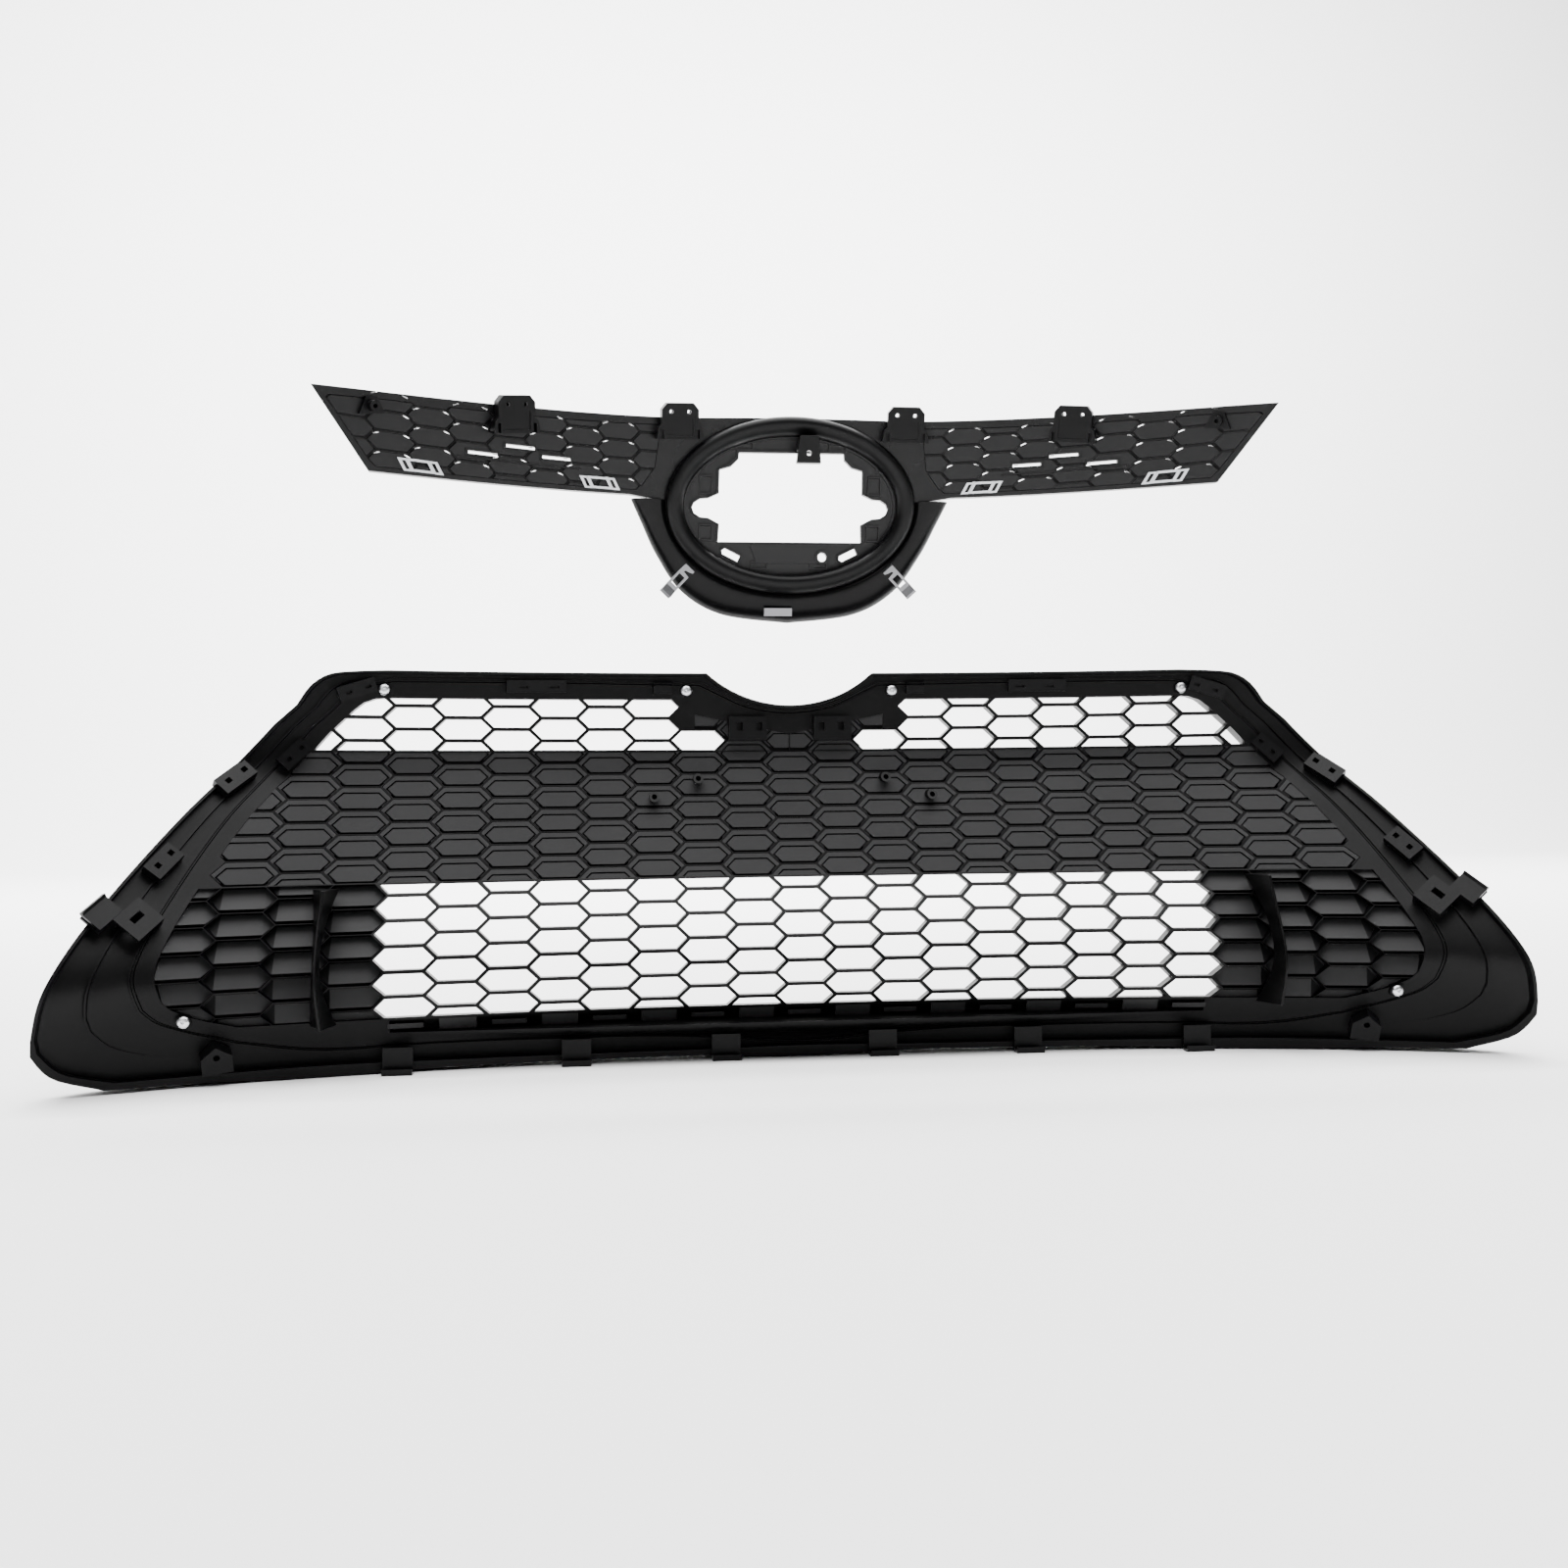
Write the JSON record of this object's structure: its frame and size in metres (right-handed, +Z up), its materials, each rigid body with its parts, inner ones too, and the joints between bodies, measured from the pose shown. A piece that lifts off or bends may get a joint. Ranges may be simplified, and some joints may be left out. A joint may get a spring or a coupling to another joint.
{
  "type": "front grille",
  "caption": "Two-piece honeycomb car front grille: wide lower grille with a centre notch, and an upper grille with an oval emblem seat, with their clips and screws.",
  "frame": {"origin": "on the ground under the middle of the whole set's bounding box", "axes": "+X along the grille's width (the car's left), +Y towards the rear of the car, +Z up"},
  "size_m": [1.3144, 0.269, 0.6301],
  "materials": {
    "satin_black": "satin moulded",
    "matte_black": "matte moulded",
    "gloss_black": "polished",
    "zinc_screw": "zinc plated",
    "spring_steel": "bare spring steel"
  },
  "bodies": {
    "lower_grille": {"lower_mesh": "satin_black", "lower_surround": "satin_black", "mesh_screw_1": "zinc_screw", "mesh_screw_2": "zinc_screw", "mesh_screw_3": "zinc_screw", "mesh_screw_4": "zinc_screw", "mesh_screw_5": "zinc_screw", "mesh_screw_6": "zinc_screw", "side_bracket_left": "matte_black", "side_bracket_right": "matte_black", "outer_clip_left": "matte_black", "outer_clip_right": "matte_black", "side_retainer_left": "matte_black", "side_retainer_right": "matte_black", "rim_clip_left": "matte_black", "rim_clip_right": "matte_black", "inner_clip_left": "matte_black", "inner_clip_right": "matte_black", "corner_clip_left": "matte_black", "corner_clip_right": "matte_black", "top_clip_left": "matte_black", "top_clip_right": "matte_black", "notch_hook_left": "matte_black", "notch_hook_right": "matte_black", "notch_block_left": "matte_black", "notch_block_right": "matte_black", "wing_tower_left": "matte_black", "wing_tower_right": "matte_black", "air_blade_left": "satin_black", "air_blade_right": "satin_black", "bottom_hook_left_1": "matte_black", "bottom_hook_right_1": "matte_black", "bottom_hook_left_2": "matte_black", "bottom_hook_right_2": "matte_black", "bottom_hook_left_3": "matte_black", "bottom_hook_right_3": "matte_black"},
    "upper_grille": {"upper_panel": "satin_black", "emblem_ring": "satin_black", "emblem_base": "satin_black", "lobe_garnish": "gloss_black", "lobe_centre_clip": "spring_steel", "top_centre_clip": "matte_black", "tower_clip_outer_left": "matte_black", "tower_clip_outer_right": "matte_black", "tower_clip_inner_left": "matte_black", "tower_clip_inner_right": "matte_black", "spring_clip_outer_left": "spring_steel", "spring_clip_outer_right": "spring_steel", "spring_clip_inner_left": "spring_steel", "spring_clip_inner_right": "spring_steel", "corner_boss_left": "matte_black", "corner_boss_right": "matte_black", "lobe_clip_left": "spring_steel", "lobe_clip_right": "spring_steel"}
  },
  "joints": [
    {"name": "upper_fit_slide", "type": "slide", "parent": "lower_grille", "child": "upper_grille", "axis": [0, 0, -1], "range_m": [0, 0.055]}
  ]
}
